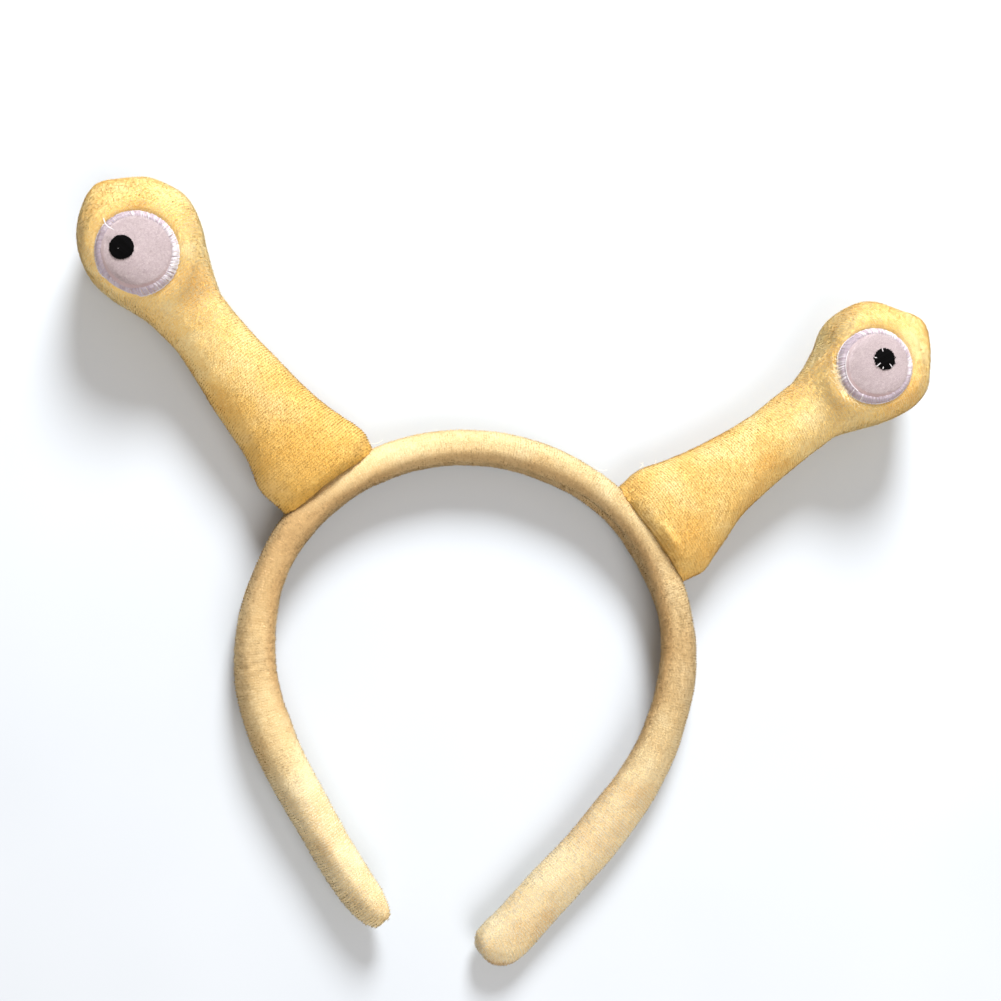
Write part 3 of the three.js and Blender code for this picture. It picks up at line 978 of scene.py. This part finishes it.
def felt_fibres(side, felt_piece):
    """Fibres lying on the felt every way, most of them along its grain"""
    eye = EYES[side]
    rng = np.random.default_rng(81 if side == "left" else 82)
    points, triangles = points_of(felt_piece.data), triangles_of(felt_piece.data)
    normals = normals_of(points, triangles)
    inside = eye.distance(points) < eye.felt_radius
    triangles = triangles[inside[triangles].all(1)]
    weight = np.cumsum(areas_of(points, triangles))
    pick = np.searchsorted(weight / weight[-1], rng.random(FELT_FIBRES)).clip(0, len(triangles) - 1)
    mix = rng.dirichlet((1, 1, 1), FELT_FIBRES)[:, :, None]
    root = (points[triangles[pick]] * mix).sum(1)
    normal = unit((normals[triangles[pick]] * mix).sum(1))
    angle = math.radians(40) + rng.normal(0, 0.7, FELT_FIBRES)
    way = np.stack([np.cos(angle), np.sin(angle), np.zeros(FELT_FIBRES)], 1)
    way = unit(way - normal * (way * normal).sum(1, keepdims=True) + 0.1 * normal)
    wide = np.cross(normal, way) * (rng.uniform(0.04, 0.07, FELT_FIBRES) * MM)[:, None]
    length = (rng.uniform(0.6, 1.8, FELT_FIBRES) * MM)[:, None]
    start = root + normal * 0.02 * MM
    corners = np.stack([start - wide, start + way * length, start + wide], 1)
    faces = np.arange(FELT_FIBRES * 3).reshape(-1, 3)
    obj = new_object(f"{side}_felt_fibres", corners.reshape(-1, 3), faces, MATERIALS["felt_fibre"])
    set_number(obj.data, "shade", np.repeat(rng.random(FELT_FIBRES), 3))
    lit = np.repeat(unit(normal + 0.3 * way), 3, axis=0)
    obj.data.normals_split_custom_set_from_vertices(lit.tolist())
    return obj


def tube(path, radius, up):
    """Points and quads of a thin tube along a path, open at both ends"""
    forward = unit(np.gradient(path, axis=0))
    across = unit(np.cross(forward, up))
    over = np.cross(across, forward)
    angle = np.linspace(0, 2 * math.pi, THREAD_SIDES, endpoint=False)
    ring = (across[:, None, :] * np.cos(angle)[None, :, None]
            + over[:, None, :] * np.sin(angle)[None, :, None])
    size = np.broadcast_to(radius, (len(path),))[:, None, None]
    points = (path[:, None, :] + ring * size).reshape(-1, 3)
    index = np.arange(len(path) * THREAD_SIDES).reshape(len(path), THREAD_SIDES)
    return points, ring_quads(index)


def threads(name, paths, radii, ups, material, shades):
    """Many separate threads in one mesh"""
    points, faces, tones, count = [], [], [], 0
    for path, radius, up, shade in zip(paths, radii, ups, shades):
        some, quads = tube(path, radius, up)
        points.append(some)
        faces.append(quads + count)
        tones.append(np.full(len(some), shade))
        count += len(some)
    obj = new_object(name, np.vstack(points), np.vstack(faces), material)
    set_number(obj.data, "shade", np.concatenate(tones))
    return obj


def painted_glint_share(side, angle):
    """How many of an edging's stitches at an angle are painted white as glints"""
    total = 0
    for middle, spread, strength in GLINTS[side]:
        off = turned(math.degrees(angle), middle)
        total = max(total, strength * math.exp(-((off / spread) ** 2)))
    return total


def edging(side, tree):
    """Satin stitches side by side over the felt's edge, each one from the felt to the
    velvet, some of them painted white as glints, and one white thread run round their outer ends"""
    eye = EYES[side]
    rng = np.random.default_rng(21 if side == "left" else 22)
    middle = (eye.felt_radius + eye.outer) / 2
    count = int(2 * math.pi * middle / (THREAD_DIAMETER * 0.82))
    steps = np.linspace(0, 1, 9)
    paths, radii, ups, shades = [], [], [], []
    for i in range(count):
        angle = 2 * math.pi * i / count
        # A painted glint: this stitch is made white
        white = rng.random() < painted_glint_share(side, angle)
        start = eye.felt_radius - rng.uniform(-0.1, 0.25) * MM
        end = eye.outer + rng.uniform(-0.15, 0.2) * MM
        slant = rng.normal(0.07, 0.02)
        place = eye.place(start + (end - start) * steps, angle + slant * (steps - 0.5))
        points, normals = face_of(tree, place, eye.top)
        up = unit(normals.mean(0))
        arch = np.sin(math.pi * steps) ** 0.6
        lift = 0.25 * MM + EDGING_HEIGHT * arch * (1.2 if white else rng.uniform(0.85, 1.1))
        paths.append(points + up * lift[:, None])
        radii.append(THREAD_DIAMETER / 2 * rng.uniform(0.9, 1.12))
        ups.append(up)
        shades.append(rng.uniform(0.55, 1) if white else rng.uniform(0.05, 0.4))
    turns = np.linspace(0, 2 * math.pi, 181)
    wander = 0.06 * np.sin(5 * turns) + 0.04 * np.sin(13 * turns)
    points, normals = face_of(tree, eye.place(eye.outer + (0.12 + wander) * MM, turns), eye.top)
    paths.append(points + normals * 0.42 * MM)
    radii.append(THREAD_DIAMETER * 0.5)
    ups.append(UP)
    shades.append(0.9)
    extra = []
    # White lines over the pupils: gaps in their stitches, and on the left pupil a painted glint
    for angle, near, far in PUPIL_GAPS_AND_GLINT[side]:
        way = np.array([math.cos(math.radians(angle)), math.sin(math.radians(angle))])
        place = eye.pupil + np.outer(np.linspace(near, far, 4) * eye.pupil_radius, way)
        points, normals = face_of(tree, place, eye.top)
        extra.append(points + normals * 1.3 * MM)
    if side == "left":
        start, end = (seen(pixel, eye.top + 0.4 * MM) for pixel in LOOSE_END)
        extra.append(arc(start, end, 0.7 * MM))
    else:
        turns = np.radians(np.linspace(160, 240, 41))
        points, normals = face_of(tree, eye.place(eye.felt_radius + 0.05 * MM, turns), eye.top)
        extra.append(points + normals * 0.85 * MM)
    for path in extra:
        paths.append(path)
        radii.append(THREAD_DIAMETER * 0.55)
        ups.append(UP)
        shades.append(1.0)
    return threads(f"{side}_edging_stitches", paths, radii, ups, MATERIALS["edging"], shades)


def arc(start, end, sag):
    """A path from one place to another that bows sideways by the sag"""
    share = np.linspace(0, 1, 9)[:, None]
    aside = unit(np.cross(end - start, UP))
    return start + (end - start) * share + aside * sag * np.sin(math.pi * share)


def stray_fibres():
    paths = [arc(seen(a, high * MM), seen(b, high * MM), sag * MM) for a, b, high, sag in STRAYS]
    count = len(paths)
    ups = [UP] * count
    radii = [FIBRE_RADIUS] * count
    return threads("stray_fibres", paths, radii, ups, MATERIALS["fibre"], [0.8] * count)


def pupil(side, tree):
    """Black stitches laid side by side across the pupil, with a ragged edge"""
    eye = EYES[side]
    rng = np.random.default_rng(41 if side == "left" else 42)
    paths, radii, ups, shades = [], [], [], []
    radius = eye.pupil_radius
    lean = math.radians(55 if side == "left" else 125)
    along = np.array([math.cos(lean), math.sin(lean)])
    across = np.array([-along[1], along[0]])
    ragged = 0.1 if side == "left" else 0.22
    step = THREAD_DIAMETER * 0.7
    steps = np.linspace(-1, 1, 11)
    for layer in range(2):
        for offset in np.arange(-radius + step / 2, radius, step):
            reach = math.sqrt(max(radius**2 - offset**2, 0))
            if reach < 0.4 * MM:
                continue
            ends = reach + rng.normal(0, ragged, 2) * MM
            place = eye.pupil + across * offset
            place = place + np.outer(np.where(steps < 0, ends[0], ends[1]) * steps, along)
            points, normals = face_of(tree, place, eye.top)
            up = unit(normals.mean(0))
            share = np.linalg.norm(place - eye.pupil, axis=1) / radius
            lift = 0.85 + 0.2 * layer + 0.3 * np.sqrt(np.maximum(1 - share**2, 0))
            paths.append(points + up * (lift * MM)[:, None])
            radii.append(THREAD_DIAMETER / 2 * rng.uniform(0.9, 1.1))
            ups.append(up)
            shades.append(rng.random())
        along, across = across, -along
    return threads(f"{side}_pupil_stitches", paths, radii, ups, MATERIALS["pupil"], shades)


# Putting it together

def keep(obj, slot, *nodes):
    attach(obj, "root")
    if nodes:
        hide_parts(*nodes)
    return obj


def add_camera():
    right, up, back = camera_axes()
    data = bpy.data.cameras.new("camera")
    data.sensor_width = SENSOR
    data.lens = SENSOR * FOCAL_PIXELS / PHOTO_WIDTH
    data.clip_start = 0.01
    camera = bpy.data.objects.new("camera", data)
    bpy.context.scene.collection.objects.link(camera)
    place = Matrix((right, up, back)).transposed().to_4x4()
    place.translation = CAMERA_TARGET + back * CAMERA_DISTANCE
    camera.matrix_world = place
    bpy.context.scene.camera = camera


def add_light(name, towards, distance, size, power, colour):
    data = bpy.data.lights.new(name, "AREA")
    data.shape = "DISK"
    data.size = size
    data.energy = power
    data.color = colour
    light = bpy.data.objects.new(name, data)
    bpy.context.scene.collection.objects.link(light)
    back = Vector(towards).normalized()
    light.location = CAMERA_TARGET + back * distance
    light.rotation_mode = "QUATERNION"
    light.rotation_quaternion = (-back).to_track_quat("-Z", "Y")


def add_stage():
    """A plain pale floor and soft light, with the main lamp above the crown"""
    paint = Surface("floor_paint")
    paint.coloured(paint.ramp(paint.noise(9, 2), ((0.3, FLOOR_TONES[0]), (0.7, FLOOR_TONES[1]))))
    paint.inputs["Roughness"].default_value = 0.9
    corners = FLOOR_REACH * np.array([(-1, -1, 0), (1, -1, 0), (1, 1, 0), (-1, 1, 0)])
    floor = new_object("floor", corners, np.array([[0, 1, 2, 3]]), paint.material)
    world = bpy.data.worlds.new("studio")
    world.use_nodes = True
    backdrop = world.node_tree.nodes["Background"]
    backdrop.inputs["Color"].default_value = (*BACKDROP_COLOUR, 1)
    backdrop.inputs["Strength"].default_value = BACKDROP_STRENGTH
    bpy.context.scene.world = world
    bpy.context.scene.view_settings.view_transform = "Standard"
    for name, values in LIGHTS.items():
        add_light(name, *values)


def stroked(towards, points, seed, swirl):
    """The nap at each vertex: one way, stroked aside in patches"""
    turn = swirl * bumps(points, 14 * MM, seed)
    base = unit(towards)
    side = np.cross(UP, base)
    return base * np.cos(turn)[:, None] + side * np.sin(turn)[:, None]


def add_band(hoop):
    band = keep(make_band(hoop), "band_velvet", "band_cover")
    points = points_of(band.data)
    run, outward, _, inner = hoop.read(points)
    painted_shade = band_painted_shade(points, hoop, run, inner)
    set_number(band.data, "painted_shade", painted_shade)
    nap = stroked(hoop.along[hoop.nearest(points)], points, 61, 0.6)
    # Painted light down the legs and along a highlight ridge on the upper left side, where painted
    # shade darkens the rest and most of all the outer edge
    tone = LEG_PAINTED_LIGHT["right"] * ease(run, 312 * MM, 355 * MM)
    tone += LEG_PAINTED_LIGHT["left"] * (1 - ease(run, 40 * MM, 60 * MM))
    upper = hump(run, 125 * MM, 30 * MM)
    tone += 0.35 * upper * hump(outward, 1.6 * MM, 1.6 * MM)
    tone -= upper * (0.2 + 0.3 * ease(outward, 3 * MM, 5 * MM))

    def ribbed(root):
        index = hoop.nearest(root)
        at = hoop.run[index] + ((root - hoop.line[index]) * hoop.along[index]).sum(1)
        strength = 0.4 + 0.6 * bumps(root, 12 * MM, 66) - 0.6 * ease(at, 320 * MM, 345 * MM)
        at = at + 0.25 * bumps(root, 5 * MM, 65) * MM
        return in_ribs(root, at, hoop.along[index], np.clip(strength, 0, 1))

    half = hoop.run[-1] / 2
    longer = np.ones(len(points))
    for side, shown in (("left", run <= half), ("right", run > half)):
        pile = grown(f"band_pile_{side}", band, MATERIALS["band_pile"], BAND_BLADES, nap, 62,
                     shown.astype(float), ribbed, painted_shade, tone, longer)
        keep(pile, "band_velvet")
    return band


def band_painted_shade(points, hoop, run, inner):
    """Painted shade on the band's flat inner face, most of all down its sides, and a painted
    shadow of the left stalk on the cloth beside it; the same number carries the rust coloured seam
    that closes the right tip"""
    shown = ease(run, 50 * MM, 85 * MM) * (1 - ease(run, 360 * MM, 384 * MM))
    face = ease(inner, -0.8 * MM, 4 * MM)
    patches = 0.5 + 0.5 * bumps(points, 9 * MM, 67)
    side = sum(strength * hump(run, at * MM, wide * MM) for at, wide, strength in BAND_PAINTED_SHADE)
    height = points[:, 1] - points[:, 1].min()
    seam = hump(height, 0.9 * MM, 0.9 * MM) * (run > hoop.run[-1] / 2)
    total = 0.72 * face * shown + 0.5 * side * (0.8 + 0.4 * patches) + 0.05 * patches + 0.75 * seam
    return np.clip(total, 0, 0.88)


def add_stalk(side, hoop, band_tree):
    eye = EYES[side]
    stalk = keep(make_stalk(side, band_tree, hoop.cover_tree), "stalk_velvet", f"{side}_stalk")
    tree = tree_of(stalk)
    points = points_of(stalk.data)
    normals = normals_of(points, triangles_of(stalk.data))
    way = unit(np.array([*(hoop.heart - eye.middle), 0]))
    nap = stroked(np.tile(way, (len(points), 1)), points, 63, 0.5)
    under = (eye.distance(points) < eye.outer - 0.3 * MM) & (normals[:, 2] > 0.1)
    from_band = np.array([band_tree.find_nearest(p)[3] for p in points])
    shown = np.where(under | (from_band < 0.35 * MM), 0.0, 1.0)
    painted_shade = stalk_painted_shade(side, points, from_band)
    set_number(stalk.data, "painted_shade", painted_shade)
    from_eye = eye.distance(points)
    # Painted light at the head and at a spot on the right head's inner side, painted shade at the
    # foot
    tone = HEAD_PAINTED_LIGHT * (1 - ease(from_eye, 14 * MM, 42 * MM))
    tone -= FOOT_PAINTED_SHADE * ease(from_eye, 32 * MM, 72 * MM)
    if side == "right":
        away = np.linalg.norm(points[:, :2] - seen(PAINTED_LIGHT_SPOT, 10 * MM)[:2], axis=1)
        tone = tone + 0.4 * hump(away, 0, 7 * MM)
    middle, spread, extra = COMBED[side]
    away = points[:, :2] - eye.middle
    combed = hump(turned(bearing(away), middle), 0, spread)
    combed *= hump(from_eye, eye.outer + 0.7 * MM, 1.5 * MM)
    toward = np.column_stack([-unit(away), np.zeros(len(points))])
    nap = nap + toward * (3 * combed)[:, None]
    longer = 1 + extra * combed
    far = (points @ way).min()

    def ribbed(root):
        at = root @ way + 0.35 * bumps(root, 6 * MM, 68) * MM
        strength = np.clip(0.2 + 0.8 * bumps(root, 14 * MM, 69), 0, 1)
        drawn = ease(root @ way, far + 5 * MM, far + 24 * MM)
        return in_ribs(root, at, np.tile(way, (len(root), 1)), strength * drawn, drawn)

    pile = grown(f"{side}_stalk_pile", stalk, MATERIALS["stalk_pile"], STALK_BLADES, nap, 64,
                 shown, ribbed, painted_shade, tone, longer)
    keep(pile, "stalk_velvet")
    felt_piece = keep(felt_disc(side, tree), "eye_felt", f"{side}_eye_felt")
    keep(felt_fibres(side, felt_piece), "eye_felt")
    keep(edging(side, tree), "edging_thread", f"{side}_eye_edging")
    keep(pupil(side, tree), "pupil_thread", f"{side}_pupil")


def main():
    add_camera()
    add_stage()
    hoop = Hoop("band_cover")
    band_tree = tree_of(add_band(hoop))
    for side in SIDES:
        add_stalk(side, hoop, band_tree)
    keep(stray_fibres(), "stalk_velvet")


main()
